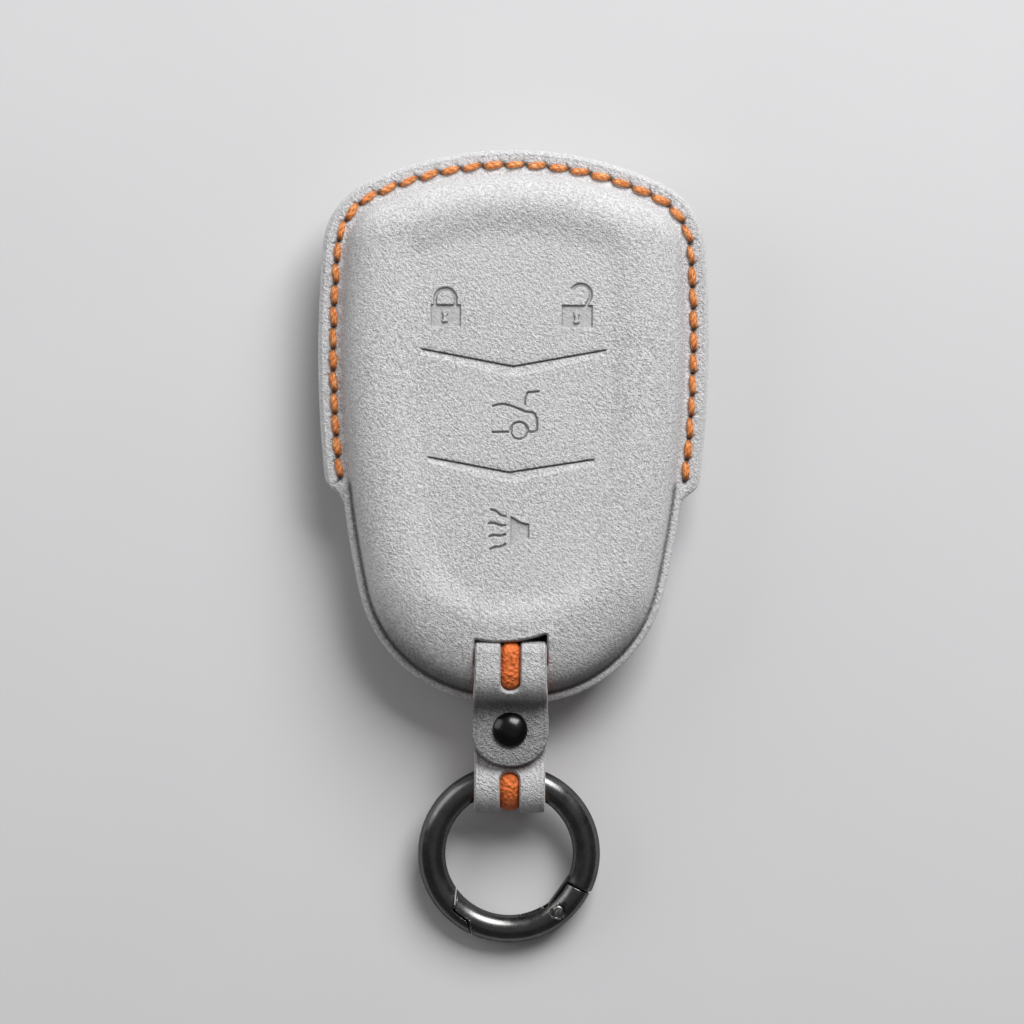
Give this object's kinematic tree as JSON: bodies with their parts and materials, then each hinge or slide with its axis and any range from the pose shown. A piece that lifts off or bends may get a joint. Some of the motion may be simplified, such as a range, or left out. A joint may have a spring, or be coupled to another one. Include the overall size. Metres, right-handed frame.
{
  "type": "key fob cover",
  "caption": "Moulded suede key fob cover sewn along three sides, with a snap strap through its slots and a ring whose sprung gate opens inwards.",
  "frame": {"origin": "middle of the back panel's flat face, level with the middle of the cover's length", "axes": "+X to the right seen from the front, +Y up the cover away from the ring, +Z out of the front panel"},
  "size_m": [0.0638, 0.1303, 0.0182],
  "materials": {
    "suede": "light grey suede with a fine nap",
    "orange_leather": "orange grain leather, satin",
    "thread": "orange waxed thread",
    "dark_metal": "dark satin",
    "gunmetal": "satin gunmetal plating",
    "spring_wire": "drawn steel"
  },
  "bodies": {
    "cover": {"front_panel": "suede", "back_panel": "suede", "stitch_thread": "thread", "strap_loop_face": "suede", "strap_loop_lining": "orange_leather", "snap_stud": "dark_metal", "snap_post": "dark_metal"},
    "tongue": {"strap_tongue_face": "suede", "strap_tongue_lining": "orange_leather", "snap_cap": "dark_metal", "snap_socket": "dark_metal", "snap_spring": "spring_wire"},
    "ring": {"ring_body": "gunmetal"},
    "gate": {"ring_gate": "gunmetal", "gate_pin": "spring_wire", "gate_spring": "spring_wire"}
  },
  "joints": [
    {"name": "tongue_lift", "type": "hinge", "parent": "cover", "child": "tongue", "pos_m": [0, -0.03725, 0.01806], "axis": [-1, 0, 0], "range_deg": [0, 95], "deforming": ["snap_spring"]},
    {"name": "ring_swing", "type": "hinge", "parent": "cover", "child": "ring", "pos_m": [0, -0.05835, 0.006], "axis": [-1, 0, 0], "range_deg": [-75, 95]},
    {"name": "gate_open", "type": "hinge", "parent": "ring", "child": "gate", "pos_m": [0.00817, -0.07936, 0.00279], "axis": [0, 0.1512, -0.9885], "range_deg": [0, 36], "stiffness_Nm_per_rad": 0.03, "springref_deg": -17.19}
  ]
}
